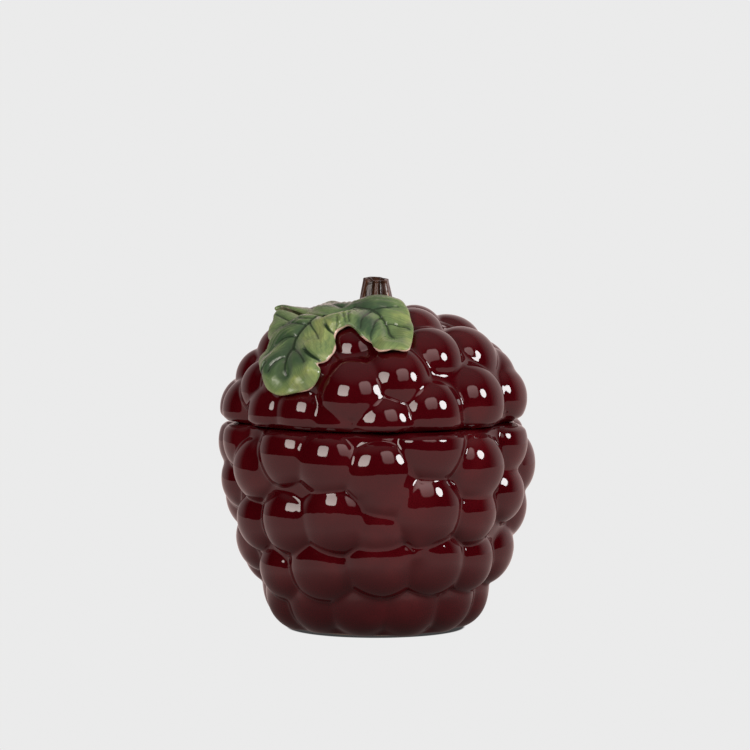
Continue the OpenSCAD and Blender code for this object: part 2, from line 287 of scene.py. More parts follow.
def clayForm(nodeName, pieceName, bodyName, body):
    clay = softClay
    mesh = remeshed(nodeName, pieceName, clay["voxel"])
    places, edges = meshArrays(mesh)
    normals = meshNormals(mesh)
    radius = np.hypot(places[:, 0], places[:, 1])
    seatGap = np.abs(places[:, 2] - seatHeight)
    onLand = 1 - smoothstep(seatGap, *clay["landGap"])
    onLand *= 1 - smoothstep(radius, landRadius, landRadius + clay["landEdge"])
    facing = (normals[:, 0] * places[:, 0] + normals[:, 1] * places[:, 1]) / np.maximum(radius, mm)
    facing = facing + normals[:, 2] * (places[:, 2] > seatHeight + clay["crownFrom"])
    outward = smoothstep(facing, *clay["outward"])
    weight = np.clip(outward + clay["innerShare"], 0, 1) * (1 - onLand)

    pressed = roundBase(pressCaps(places, body))
    places = soften(pressed, edges, weight, clay["rounds"])
    # how deep each point lies in a crease; the glaze paints shade there
    hollow = np.clip(((places - pressed) * normals).sum(1) / clay["hollowDepth"], 0, 1)
    waves = sum(np.sin(places @ np.array(turn) + phase) for turn, phase in clay["waves"]) / len(clay["waves"])
    guard = smoothstep(seatGap, 0, clay["seamGuard"]) * outward
    places = places + normals * ((clay["swell"] + clay["wave"] * waves) * guard)[:, None]
    # both lips of the seam are rounded back
    nearLip = 1 - smoothstep(seatGap, *clay["lipGap"])
    nearLip *= smoothstep(radius, *(landRadius + reach for reach in clay["lipEdge"]))
    places[:, 2] += clay["lip"] * nearLip * np.sign(places[:, 2] - seatHeight)
    places = soften(places, edges, weight * clay["finishShare"], clay["finishRounds"])

    mesh.vertices.foreach_set("co", places.astype(np.float32).ravel())
    mesh.update()
    valence = np.bincount(edges.ravel(), minlength=len(places))
    setAttribute(mesh, "hollow", neighbourMean(hollow, edges, valence))
    smoothShaded(mesh)
    piece = linkObject(pieceName, mesh)
    mesh.materials.clear()
    mesh.materials.append(glaze)
    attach(piece, bodyName)
    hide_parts(nodeName)
    print(pieceName, "made,", len(mesh.vertices), "points")
    return piece


clayForm("pot", "grapePot", "pot", potBody)
lidForm = clayForm("lid", "grapeLid", "lid", lidBody)


# one lathe for both rings, with the corners rounded as a sponge leaves them
def latheForm(name, profile, sides=192):
    count = len(profile)
    points = [(r * math.sin(a), -r * math.cos(a), z)
              for a in (2 * math.pi * k / sides for k in range(sides)) for r, z in profile]
    faces = [(k * count + i, k * count + (i + 1) % count,
              (k + 1) % sides * count + (i + 1) % count, (k + 1) % sides * count + i)
             for k in range(sides) for i in range(count)]
    mesh = bpy.data.meshes.new(name)
    mesh.from_pydata(points, [], faces)
    smoothShaded(mesh)
    return linkObject(name, mesh)


def roundedProfile(corners, bevel, steps=5, mostShare=0.45):
    profile = []
    for k, corner in enumerate(corners):
        here = Vector(corner)
        back, ahead = Vector(corners[k - 1]) - here, Vector(corners[(k + 1) % len(corners)]) - here
        start = here + back.normalized() * min(bevel, back.length * mostShare)
        end = here + ahead.normalized() * min(bevel, ahead.length * mostShare)
        for i in range(steps + 1):
            t = i / steps
            profile.append(tuple((1 - t) ** 2 * start + 2 * t * (1 - t) * here + t * t * end))
    return profile


# green glaze: painted light makes it paler and yellower on the swellings and near the margin, painted shade
# makes it dark in the hollows along the veins
leafLook = {"body": (0.15, 0.238, 0.093), "deep": (0.045, 0.092, 0.045), "pale": (0.3, 0.38, 0.13),
            "line": (0.016, 0.034, 0.016), "cream": (0.7, 0.52, 0.42), "roughness": 0.13, "ior": 1.5,
            "mottle": 170, "cloud": 60, "cloudTones": (0.3, 0.7), "cloudShift": 0.3,
            "deepTones": (-0.1, 0.42), "paleTones": (0.42, 1.05), "paleMottle": (0.32, 0.62), "paleLeast": 0.15,
            "wrinkle": (1500, 190), "wrinkleShadeTones": (0.36, 0.6), "wrinkleShadeShare": 0.34,
            "wrinkleDepth": 0.24 * mm, "wrinkleBump": 0.6, "lineTones": (0.15, 0.85), "lineShare": 0.9,
            "rimTones": (0.35, 0.75), "rimMottle": (0.3, 0.7), "rimPatches": (0.6, 1.4)}


def leafGlaze():
    look = leafLook
    material, tree = newMaterial("leafGlaze")
    place = objectPlace(tree)
    clouds = noiseOf(tree, place, look["cloud"], 3).outputs["Fac"]
    mottle = noiseOf(tree, place, look["mottle"], 3, 0.6).outputs["Fac"]
    # fine wrinkles that run out from the ribs like side veins
    flow = addNode(tree, "ShaderNodeCombineXYZ", {
        "X": mathOf(tree, "MULTIPLY", attributeOf(tree, "phase"), look["wrinkle"][0]),
        "Y": mathOf(tree, "MULTIPLY", attributeOf(tree, "across"), look["wrinkle"][1])}).outputs[0]
    wrinkles = noiseOf(tree, flow, 1.0, 3, 0.65).outputs["Fac"]
    shift = rampOf(tree, clouds, *look["cloudTones"], (-look["cloudShift"], look["cloudShift"]))
    # painted light and shade: the tone follows the relief, pale on high parts and near the margin, dark in low
    # parts
    tone = mathOf(tree, "ADD", attributeOf(tree, "tone"), shift)
    colour = mixColour(tree, rampOf(tree, tone, *look["deepTones"]), look["deep"], look["body"])
    paleShare = mathOf(tree, "MULTIPLY", rampOf(tree, tone, *look["paleTones"]),
                       rampOf(tree, mottle, *look["paleMottle"], (look["paleLeast"], 1.0)))
    colour = mixColour(tree, paleShare, colour, look["pale"])
    # painted shade: darker in the valleys of the wrinkles that the bump raises
    wrinkleShadeShare = rampOf(tree, wrinkles, *look["wrinkleShadeTones"], (look["wrinkleShadeShare"], 0.0))
    colour = mixColour(tree, wrinkleShadeShare, colour, look["deep"])
    # painted shade: a dark line down each vein groove
    lineShare = rampOf(tree, attributeOf(tree, "line"), *look["lineTones"], (0.0, look["lineShare"]))
    colour = mixColour(tree, lineShare, colour, look["line"])
    # cream along the rim, patchily: partly bare clay, partly painted highlight
    patchy = mathOf(tree, "MULTIPLY", attributeOf(tree, "rim"),
                    rampOf(tree, mottle, *look["rimMottle"], look["rimPatches"]))
    colour = mixColour(tree, rampOf(tree, patchy, *look["rimTones"]), colour, look["cream"])
    relief = mathOf(tree, "ADD", wrinkles, mottle)
    shader = addNode(tree, "ShaderNodeBsdfPrincipled",
                     {"Base Color": colour, "Roughness": look["roughness"], "IOR": look["ior"],
                      "Normal": bumpOf(tree, relief, look["wrinkleDepth"], look["wrinkleBump"])})
    finishMaterial(tree, shader)
    return material


# vine leaf: drawn flat about its base as (bearing in degrees, share of its length), then laid over the lid;
# bed is the plain dome's half width and height, and wrap is the way from its crown down to its equator
leafPlan = {
    "length": 58 * mm, "base": (-6 * mm, -10.4 * mm), "wrap": 77.9 * mm,
    "bed": (53.6 * mm, 36.6 * mm), "centreHeight": 84 * mm,
    "margin": [
        (-13, 0.4), (-8, 0.385), (-3, 0.415), (1, 0.47), (4, 0.505), (8, 0.54), (8.5, 0.58), (10, 0.63),
        (12, 0.65), (15, 0.655), (18, 0.65), (21, 0.665), (24, 0.685), (27, 0.68), (30, 0.64), (34, 0.585),
        (39, 0.515), (46, 0.44), (55, 0.36), (65, 0.297), (76, 0.252), (90, 0.207), (101, 0.185), (110, 0.135),
        (122, 0.1), (150, 0.07), (-170, 0.09), (-160, 0.16), (-160, 0.25), (-156, 0.34), (-148, 0.41),
        (-144, 0.475), (-139, 0.49), (-135, 0.505), (-129, 0.51), (-123, 0.51), (-118, 0.505), (-117, 0.49),
        (-118, 0.475), (-117, 0.45), (-113, 0.41), (-106, 0.345), (-96, 0.305), (-83, 0.276), (-70, 0.263),
        (-58, 0.257), (-47, 0.252), (-43, 0.259), (-46, 0.268), (-57, 0.275), (-70, 0.283), (-82, 0.297),
        (-94, 0.33), (-103, 0.375), (-108, 0.425), (-108.5, 0.455), (-104, 0.48), (-97, 0.495), (-92, 0.525),
        (-87, 0.55), (-83, 0.585), (-78, 0.605), (-75, 0.65), (-72, 0.7), (-68, 0.745), (-64, 0.785),
        (-58, 0.83), (-54.5, 0.86), (-52.5, 0.9), (-50, 0.94), (-47, 0.975), (-42, 0.995), (-37, 0.985),
        (-32, 0.96), (-28, 0.945), (-25, 0.92), (-23, 0.88), (-21.5, 0.83), (-21, 0.785), (-21.5, 0.755),
        (-23, 0.725), (-20.5, 0.71), (-18.5, 0.69), (-17, 0.65), (-16, 0.6), (-16, 0.55), (-17.5, 0.5),
        (-18, 0.45), (-17, 0.42)],
}
leafVeins = {
    "rib": [[(-10, 0.1), (-39, 0.21), (-51, 0.25), (-51, 0.31), (-50, 0.37), (-49, 0.43), (-49, 0.5),
             (-48, 0.55), (-46, 0.6), (-45, 0.65), (-43.5, 0.72), (-42, 0.78), (-40, 0.83)],
            [(-10, 0.1), (11, 0.157), (20, 0.19), (25, 0.23), (27, 0.28), (27, 0.34), (26, 0.4), (24, 0.46),
             (24, 0.52)],
            [(-60, 0.1), (-110, 0.17), (-122, 0.28), (-125, 0.38), (-125, 0.46)]],
    "side": [[(-49, 0.5), (-55, 0.515), (-59, 0.54), (-62, 0.58), (-64, 0.63), (-64, 0.67)],
             [(-52, 0.317), (-60, 0.343), (-71, 0.367), (-88, 0.41), (-102, 0.46)],
             [(-49, 0.39), (-58, 0.4), (-70, 0.425), (-82, 0.46)],
             [(-46, 0.69), (-49, 0.73), (-50.5, 0.775), (-50.5, 0.82)],
             [(-46, 0.6), (-40, 0.62), (-35, 0.66), (-31, 0.71)],
             [(-50, 0.36), (-42, 0.4), (-34, 0.45), (-28, 0.51)],
             [(26.5, 0.36), (33, 0.376), (35.5, 0.41), (37, 0.45), (37, 0.5)],
             [(22, 0.21), (33, 0.215), (45, 0.235), (56, 0.27)],
             [(20, 0.22), (11, 0.266), (6, 0.31), (3, 0.367), (2, 0.42)],
             [(26, 0.3), (17, 0.345), (12, 0.414), (9, 0.464), (8, 0.52)],
             [(-124, 0.33), (-134, 0.38), (-140, 0.45)], [(-125, 0.36), (-119, 0.42)]],
    "pleat": [[(-15, 0.28), (-12, 0.33), (-10, 0.38)], [(-10, 0.25), (-9, 0.3), (-7, 0.36)],
              [(-20, 0.31), (-18, 0.36), (-18, 0.42)]],
    "cleft": [[(-35, 0.6), (-31, 0.635), (-27, 0.665), (-22, 0.7)], [(-56, 0.76), (-56, 0.81), (-54, 0.85)],
              [(-30, 0.37), (-24, 0.42), (-19, 0.45)]],
}
# where the leaf swells or dips: bearing, share, reach of the swell and its height
leafSwells = [
    (-28, 0.5, 6.5 * mm, 2.0 * mm), (-32, 0.32, 5.5 * mm, 1.5 * mm), (-42, 0.79, 3.5 * mm, -0.9 * mm),
    (-34, 0.86, 2.6 * mm, 0.7 * mm), (-26, 0.78, 3.2 * mm, 1.3 * mm), (-43, 0.95, 3 * mm, -0.5 * mm),
    (-51, 0.88, 3.5 * mm, 0.6 * mm), (-68, 0.55, 8 * mm, 0.3 * mm), (16, 0.55, 5 * mm, 0.9 * mm),
    (33, 0.52, 5 * mm, 0.8 * mm), (40, 0.36, 6 * mm, 0.5 * mm), (85, 0.15, 6 * mm, -0.2 * mm),
    (20, 0.11, 5 * mm, -0.2 * mm), (-148, 0.27, 6 * mm, -1.5 * mm),
    (-8, 0.3, 4 * mm, 0.8 * mm),
]
leafLifts = [(-114, 0.4, 6 * mm, 1.9 * mm), (-118, 0.48, 6 * mm, 3.2 * mm)]  # where its edge stands off the lid
# where the cream of its rim is strongest: partly chips to bare clay, partly painted highlight
leafChipsAndGlints = [(-17, 0.44), (-17, 0.58), (-17, 0.66), (-23, 0.73), (4, 0.5), (12, 0.64), (27, 0.68), (-27, 0.93)]
leafFlow = [(-38.5, 0.98), (22.5, 0.68), (-122, 0.7)]  # where the wrinkles beside each rib run out
leafForm = {"thick": 2.1 * mm, "rim": 1.1 * mm, "gap": 0.15 * mm, "sink": 0.4 * mm,
            "cover": (0.9 * mm, 0.8 * mm), "settle": 4 * mm, "liftFade": 2 * mm,
            "curl": 0.6 * mm, "curlReach": 4 * mm, "curlShares": (0.6, 0.4),
            "curlWaves": ((620, 1.1), (540, 0.4)),
            "puff": 0.9 * mm, "puffReach": 4.5 * mm, "ribDepth": 1.2 * mm, "ribWidth": 0.9 * mm,
            "sideDepth": 0.6 * mm, "sideWidth": 0.6 * mm, "sideOff": 0.4 * mm,
            "pleatDepth": 0.9 * mm, "pleatWidth": 0.55 * mm, "cleftDepth": 1.6 * mm, "cleftWidth": 0.7 * mm,
            "foldDepth": 0.13 * mm, "foldEvery": 2.3 * mm, "foldLean": 0.9, "foldAcross": (0.8 * mm, 4 * mm),
            "foldAlong": (30 * mm, 38 * mm), "foldRim": 1.5 * mm, "ribShift": 7 * mm,
            "toneRim": 0.5 * mm, "toneReach": 5 * mm, "tones": (-0.4 * mm, 2.2 * mm),
            "chipGlintReach": 2.6 * mm, "chipGlintWidth": 0.45 * mm, "chipGlintsBefore": 2 * mm, "chipGlintsFrom": -44 * mm,
            "rimFrom": 0.05 * mm, "rimLeast": 0.5, "underRim": 0.4}
# width and strength of the painted shade line along each kind of vein
leafLines = {"rib": (0.5 * mm, 1), "side": (0.38 * mm, 0.85), "cleft": (0.5 * mm, 1), "pleat": (0.35 * mm, 0.6)}
# spacing of the mesh: inside, along the margin, in rings beside it and along the veins; and of the bed's grid
leafMesh = {"step": 0.42 * mm, "margin": 0.45 * mm, "rings": (0.12 * mm, 0.32 * mm, 0.62 * mm, 1.0 * mm),
            "ringShare": 0.93, "inside": 1.25 * mm, "vein": 0.8 * mm, "onEdge": 0.01 * mm,
            "bedStep": 1.5 * mm, "bedHalf": 45, "bedFar": 80 * mm, "bedBlur": 2.2 * mm}


def flatPlace(bearing, share):
    turn, reach = math.radians(bearing), share * leafPlan["length"]
    return np.array(leafPlan["base"]) + reach * np.array([math.sin(turn), -math.cos(turn)])


def smoothPath(rows, closed, step):
    knots = np.array([flatPlace(*row) for row in rows])
    count = len(knots)
    spans = count if closed else count - 1
    fine = []
    for k in range(spans):
        a, b, c, d = [knots[i % count if closed else min(max(i, 0), count - 1)] for i in range(k - 1, k + 3)]
        for t in np.linspace(0, 1, 12, endpoint=False):
            fine.append(0.5 * (2 * b + (c - a) * t + (2 * a - 5 * b + 4 * c - d) * t ** 2
                               + (3 * b - a - 3 * c + d) * t ** 3))
    fine.append(fine[0] if closed else knots[-1])
    fine = np.array(fine)
    along = np.concatenate([[0], np.cumsum(np.linalg.norm(np.diff(fine, axis=0), axis=1))])
    wanted = np.linspace(0, along[-1], max(int(along[-1] / step), 4) + 1)
    path = np.stack([np.interp(wanted, along, fine[:, k]) for k in (0, 1)], axis=1)
    return path[:-1] if closed else path


def pathDistance(places, path, closed=False):
    nearest, along, reached = np.full(len(places), np.inf), np.zeros(len(places)), 0
    ends = np.roll(path, -1, axis=0) if closed else path[1:]
    for start, end in zip(path, ends):
        span = end - start
        t = np.clip(((places - start) @ span) / max(span @ span, 1e-18), 0, 1)
        gap = np.hypot(*(places - start - t[:, None] * span).T)
        closer = gap < nearest
        nearest[closer], along[closer] = gap[closer], reached + t[closer] * np.linalg.norm(span)
        reached += np.linalg.norm(span)
    return nearest, along


def insideLoop(places, loop):
    inside = np.zeros(len(places), bool)
    for (x0, y0), (x1, y1) in zip(loop, np.roll(loop, -1, axis=0)):
        if y0 != y1:
            crosses = ((y0 > places[:, 1]) != (y1 > places[:, 1]))
            inside ^= crosses & (places[:, 0] < (x1 - x0) * (places[:, 1] - y0) / (y1 - y0) + x0)
    return inside


def wrapDirections(flat):
    far = np.maximum(np.hypot(*flat.T), 1e-6)
    climb = np.radians(90 * (1 - far / leafPlan["wrap"]))
    bedRadius, bedRise = leafPlan["bed"]
    spots = np.column_stack([flat * (bedRadius * np.cos(climb) / far)[:, None], bedRise * np.sin(climb)])
    reach = np.linalg.norm(spots, axis=1)
    return spots / reach[:, None], reach


def bedOf(lidPiece):
    step, half, blur = leafMesh["bedStep"], leafMesh["bedHalf"], leafMesh["bedBlur"]
    marks = np.arange(-half, half + 1) * step
    flat = np.stack(np.meshgrid(marks, marks, indexing="ij"), axis=-1).reshape(-1, 2)
    directions, heights = wrapDirections(flat)
    centre = Vector((0, 0, leafPlan["centreHeight"]))
    bpy.context.view_layer.update()
    for k, direction in enumerate(directions):
        way = Vector(direction)
        hit, spot, _, _ = lidPiece.ray_cast(centre + way * leafMesh["bedFar"], -way)
        if hit:
            heights[k] = (spot - centre).length
    raw = heights.reshape(len(marks), len(marks))
    tall = raw.copy()
    for dx in (-1, 0, 1):
        for dy in (-1, 0, 1):
            tall = np.maximum(tall, np.roll(raw, (dx, dy), (0, 1)))
    reach = int(3 * blur / step)
    kernel = np.exp(-0.5 * (np.arange(-reach, reach + 1) * step / blur) ** 2)
    kernel /= kernel.sum()
    padded = np.pad(tall, reach, mode="edge")
    for axis in (0, 1):
        padded = np.apply_along_axis(lambda row: np.convolve(row, kernel, mode="same"), axis, padded)
    return marks, raw, padded[reach:-reach, reach:-reach]


def gridValue(marks, grid, flat):
    step = marks[1] - marks[0]
    x, y = [np.clip((flat[:, k] - marks[0]) / step, 0, len(marks) - 1.001) for k in (0, 1)]
    i, j = x.astype(int), y.astype(int)
    u, v = x - i, y - j
    return (grid[i, j] * (1 - u) * (1 - v) + grid[i + 1, j] * u * (1 - v)
            + grid[i, j + 1] * (1 - u) * v + grid[i + 1, j + 1] * u * v)


def softBumps(flat, rows):
    return sum(height * np.exp(-(np.hypot(*(flat - flatPlace(bearing, share)).T) / reach) ** 2)
               for bearing, share, reach, height in rows)


def leafPoints():
    step, loop = leafMesh["step"], smoothPath(leafPlan["margin"], True, leafMesh["margin"])
    tangent = np.roll(loop, -1, axis=0) - np.roll(loop, 1, axis=0)
    tangent /= np.linalg.norm(tangent, axis=1)[:, None]
    area = 0.5 * np.sum(loop[:, 0] * np.roll(loop[:, 1], -1) - np.roll(loop[:, 0], -1) * loop[:, 1])
    inward = np.stack([-tangent[:, 1], tangent[:, 0]], axis=1) * (1 if area > 0 else -1)
    flat = [loop]
    for offset in leafMesh["rings"]:
        ring = loop + inward * offset
        clear = pathDistance(ring, loop, True)[0] > leafMesh["ringShare"] * offset
        flat.append(ring[clear & insideLoop(ring, loop)])
    low, high = loop.min(axis=0), loop.max(axis=0)
    rows = np.arange(low[1], high[1], step * 0.866)  # rows of equal triangles
    grid = np.array([(x + (k % 2) * step / 2, y) for k, y in enumerate(rows)
                     for x in np.arange(low[0], high[0], step)])
    grid = grid[insideLoop(grid, loop)]
    flat.append(grid[pathDistance(grid, loop, True)[0] > leafMesh["inside"]])
    edges = [(k, (k + 1) % len(loop)) for k in range(len(loop))]
    points = [Vector(place) for place in np.concatenate(flat) / mm]
    planned, _, triangles, _, _, _ = delaunay_2d_cdt(points, edges, [], 1, 1e-5)
    flat = np.array([(place.x, place.y) for place in planned]) * mm
    edge = pathDistance(flat, loop, True)[0]
    edge[edge < leafMesh["onEdge"]] = 0
    return flat, triangles, edge


def veinDistances(flat):
    fine = leafMesh["vein"]
    near = {kind: np.min([pathDistance(flat, smoothPath(rows, False, fine))[0] for rows in lines], axis=0)
            for kind, lines in leafVeins.items()}
    ribs = np.array([pathDistance(flat, smoothPath(rows + [end], False, fine))
                     for rows, end in zip(leafVeins["rib"], leafFlow)])
    nearestRib = ribs[:, 0].argmin(axis=0)
    along = ribs[nearestRib, 1, np.arange(len(flat))] + leafForm["ribShift"] * nearestRib
    return near, ribs[:, 0].min(axis=0), along


def leafRelief(flat, edge, near, across, along):
    form = leafForm
    anyVein = np.minimum(near["rib"], near["side"] + form["sideOff"])
    relief = form["puff"] * (1 - np.exp(-(anyVein / form["puffReach"]) ** 2))
    relief -= form["ribDepth"] * np.exp(-near["rib"] / form["ribWidth"])
    for kind in ("side", "pleat", "cleft"):
        relief -= form[kind + "Depth"] * np.exp(-(near[kind] / form[kind + "Width"]) ** 2)
    relief += softBumps(flat, leafSwells)
    phase = (along - form["foldLean"] * across) / form["foldEvery"]
    folds = np.sin(2 * np.pi * phase + 1.3 * np.sin(0.7 * phase)) * smoothstep(across, *form["foldAcross"])
    folds *= 1 - smoothstep(along, *form["foldAlong"])
    return relief + form["foldDepth"] * folds * smoothstep(edge, 0, form["foldRim"])


def leafSides(flat, edge, relief, lidPiece):
    form, half = leafForm, 0.5 * leafForm["thick"]
    marks, raw, soft = bedOf(lidPiece)
    ground, bed = gridValue(marks, raw, flat), gridValue(marks, soft, flat)
    waves = [np.sin(flat[:, k] * turn + phase) for k, (turn, phase) in enumerate(form["curlWaves"])]
    steady, wavy = form["curlShares"]
    curl = form["curl"] * np.exp(-(edge / form["curlReach"]) ** 2) * (steady + wavy * waves[0] * waves[1])
    base = np.maximum(bed, ground - form["sink"]) + form["gap"] + curl
    bulge = np.sqrt(1 - (1 - np.clip(edge / form["rim"], 0, 1)) ** 2)
    middle = base + half
    top = middle + bulge * half + relief * smoothstep(edge, 0, form["settle"])
    overGrapes, cover = form["cover"]
    top = np.maximum(top, np.maximum(ground + overGrapes * bulge, base) + cover * bulge)
    lift = softBumps(flat, leafLifts)
    under = middle - bulge * half + lift * (1 - smoothstep(edge, 0, form["liftFade"]))
    return top + lift, under


def rimShare(flat, edge):
    form = leafForm
    chipsAndGlints = np.max([np.exp(-(np.hypot(*(flat - flatPlace(*place)).T) / form["chipGlintReach"]) ** 2)
                      for place in leafChipsAndGlints], axis=0)
    # the cream, bare clay and painted highlight both, is kept to the front edge
    frontEdge = (flat[:, 1] < form["chipGlintsBefore"]) & (flat[:, 0] > form["chipGlintsFrom"])
    rim = 1 - smoothstep(edge, form["rimFrom"], form["chipGlintWidth"] * (1 + chipsAndGlints))
    return rim * (form["rimLeast"] + (1 - form["rimLeast"]) * chipsAndGlints) * frontEdge


def vineLeaf(lidPiece):
    form = leafForm
    flat, triangles, edge = leafPoints()
    near, across, along = veinDistances(flat)
    relief = leafRelief(flat, edge, near, across, along)
    top, under = leafSides(flat, edge, relief, lidPiece)
    directions, _ = wrapDirections(flat)
    centre = np.array([0, 0, leafPlan["centreHeight"]])
    lower = np.flatnonzero(edge > 0)  # points on the margin serve both sides
    lowerIndex = np.arange(len(flat))
    lowerIndex[lower] = len(flat) + np.arange(len(lower))
    places = np.concatenate([centre + directions * top[:, None], centre + (directions * under[:, None])[lower]])
    faces = [tuple(face) for face in triangles]
    faces += [tuple(int(lowerIndex[i]) for i in reversed(face)) for face in triangles]
    mesh = bpy.data.meshes.new("vineLeaf")
    mesh.from_pydata(places.tolist(), [], faces)
    mesh.validate()

    def both(values):
        return np.concatenate([values, values[lower]])

    lines = [share * np.exp(-(near[kind] / width) ** 2) for kind, (width, share) in leafLines.items()]
    # relief raised near the margin, which the glaze turns into painted light and shade
    tone = relief + form["toneRim"] * (1 - smoothstep(edge, 0, form["toneReach"]))
    setAttribute(mesh, "line", both(np.maximum.reduce(lines)))
    setAttribute(mesh, "phase", both(along - form["foldLean"] * across))
    setAttribute(mesh, "across", both(across))
    setAttribute(mesh, "tone", both(smoothstep(tone, *form["tones"])))
    setAttribute(mesh, "rim", np.concatenate([rimShare(flat, edge), np.full(len(lower), form["underRim"])]))
    smoothShaded(mesh)
    piece = linkObject("vineLeaf", mesh)
    mesh.materials.append(leafGlaze())
    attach(piece, "lid")
    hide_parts("leaf")
    print("vineLeaf made,", len(mesh.vertices), "points")


vineLeaf(lidForm)

# brown glaze: dark in the flutes, thin along the ribs, with pinkish cream streaks on the rib crests that are
# painted highlight
stemLook = {"body": (0.06, 0.022, 0.009), "deep": (0.014, 0.006, 0.003), "thin": (0.075, 0.03, 0.014),
            "highlightStreak": (0.5, 0.34, 0.25), "roughness": 0.2, "ior": 1.35, "stretch": 0.16,
            "grain": 420, "broad": 150, "bodyTones": (0.4, 0.65), "thinCrest": (0.45, 1.0), "thinShare": 0.7,
            "highlightStreakTones": (0.61, 0.7), "highlightStreakCrest": (0.4, 0.9), "bump": 0.3 * mm, "bumpShare": 0.8}
# profile: share of the height, and how far the radius has gone from the foot's to the top's; turns in radians
stemForm = {"sides": 160, "rows": 40, "top": 4.85 * mm,
            "profile": ([0, 0.05, 0.15, 0.45, 0.75, 0.93, 1], [0, 0.03, 0.1, 0.42, 0.75, 0.96, 1]),
            "flutes": 7, "fluteDepth": 1.0 * mm, "fluteSharpness": 0.8, "fluteWander": 0.05, "uneven": 0.3,
            "footFlutes": 0.35, "footShare": 0.25,
            "lip": 0.9 * mm, "lipRows": 6, "lipInShare": 0.9, "lipRiseShare": 0.35,
            "dish": 1.5 * mm, "dishRows": 8, "dishShare": 0.75, "dishEdge": 0.3 * mm, "dishMiddle": 0.02 * mm,
            "dishCrest": 0.4, "slope": 0.9 * mm, "slopeTurn": 0.5, "slopeFrom": 0.45,
            "notch": 0.9 * mm, "notchTurn": 5.6, "notchWidth": 0.35}


def stemGlaze():
    look = stemLook
    material, tree = newMaterial("stemGlaze")
    place = objectPlace(tree, (1, 1, look["stretch"]))
    crest = attributeOf(tree, "crest")
    streaks = noiseOf(tree, place, look["grain"], 3, 0.6).outputs["Fac"]
    broad = noiseOf(tree, place, look["broad"], 2).outputs["Fac"]
    colour = mixColour(tree, rampOf(tree, broad, *look["bodyTones"]), look["deep"], look["body"])
    thinShare = rampOf(tree, crest, *look["thinCrest"], (0.0, look["thinShare"]))
    colour = mixColour(tree, thinShare, colour, look["thin"])
    # painted highlight: pale streaks on the rib crests
    highlightStreakShare = mathOf(tree, "MULTIPLY", rampOf(tree, streaks, *look["highlightStreakTones"]),
                         rampOf(tree, crest, *look["highlightStreakCrest"]))
    colour = mixColour(tree, highlightStreakShare, colour, look["highlightStreak"])
    shader = addNode(tree, "ShaderNodeBsdfPrincipled",
                     {"Base Color": colour, "Roughness": look["roughness"], "IOR": look["ior"],
                      "Normal": bumpOf(tree, streaks, look["bump"], look["bumpShare"])})
    finishMaterial(tree, shader)
    return material


def stemRows(low, high, turns):
    form, tall, foot, rows = stemForm, high.z - low.z, high.x, []
    uneven = 1 - form["uneven"] + form["uneven"] * np.sin(3 * turns + 0.7)
    for share in np.linspace(0, 1, form["rows"] + 1):
        plain = foot + (form["top"] - foot) * np.interp(share, *form["profile"])
        wander = turns + form["fluteWander"] * np.sin(3 * share + 1)
        flutes = 0.5 - 0.5 * np.cos(form["flutes"] * wander)
        begun = form["footFlutes"] + (1 - form["footFlutes"]) * smoothstep(share, 0, form["footShare"])
        depth = form["fluteDepth"] * uneven * begun
        rows.append((plain - depth * flutes ** form["fluteSharpness"], low.z + share * tall, 1 - flutes))
    rimRadius, _, rimCrest = rows[-1]
    for turn in np.linspace(0, np.pi / 2, form["lipRows"] + 1)[1:]:
        rows.append((rimRadius - form["lip"] * form["lipInShare"] * (1 - math.cos(turn)),
                     high.z + form["lip"] * form["lipRiseShare"] * math.sin(turn), rimCrest))
    inner = rows[-1][0]
    for share in np.linspace(0, 1, form["dishRows"] + 1)[1:]:
        sunk = form["dish"] * smoothstep(share, 0, form["dishShare"])
        rows.append((inner * (1 - share) + form["dishMiddle"], high.z + form["dishEdge"] - sunk,
                     np.full(len(turns), form["dishCrest"])))
    return rows


def flutedStem():
    form, sides = stemForm, stemForm["sides"]
    low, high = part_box("stem")
    turns = 2 * np.pi * np.arange(sides) / sides
    rows = stemRows(low, high, turns)
    # the top is cut at a slope, with one notch in its rim
    drop = form["slope"] * (0.5 + 0.5 * np.cos(turns - form["slopeTurn"])) + form["lip"] * form["lipRiseShare"]
    drop += form["notch"] * np.exp(-((turns - form["notchTurn"]) / form["notchWidth"]) ** 2)
    points = np.concatenate([np.stack([
        radius * np.sin(turns), -radius * np.cos(turns),
        height - drop * smoothstep((height - low.z) / (high.z - low.z), form["slopeFrom"], 1.0)], axis=1)
        for radius, height, _ in rows])
    faces = stackedQuads(len(rows), sides)
    faces.append(tuple(range((len(rows) - 1) * sides, len(rows) * sides)))
    faces.append(tuple(reversed(range(sides))))
    mesh = bpy.data.meshes.new("flutedStem")
    mesh.from_pydata(points.tolist(), [], faces)
    setAttribute(mesh, "crest", np.concatenate([crest for _, _, crest in rows]))
    smoothShaded(mesh)
    mesh.polygons[-1].use_smooth = False
    piece = linkObject("flutedStem", mesh)
    mesh.materials.append(stemGlaze())
    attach(piece, "lid")
    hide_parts("stem")
    print("flutedStem made,", len(mesh.vertices), "points")


flutedStem()

# bare clay of the foot, and the glazed collar that drops into the mouth
clayLook = {"body": (0.62, 0.52, 0.4), "speck": (0.36, 0.26, 0.18), "roughness": 0.85, "grain": 900,
            "speckTones": (0.55, 0.7), "speckShare": 0.6, "bump": 0.06 * mm, "bumpShare": 0.6}


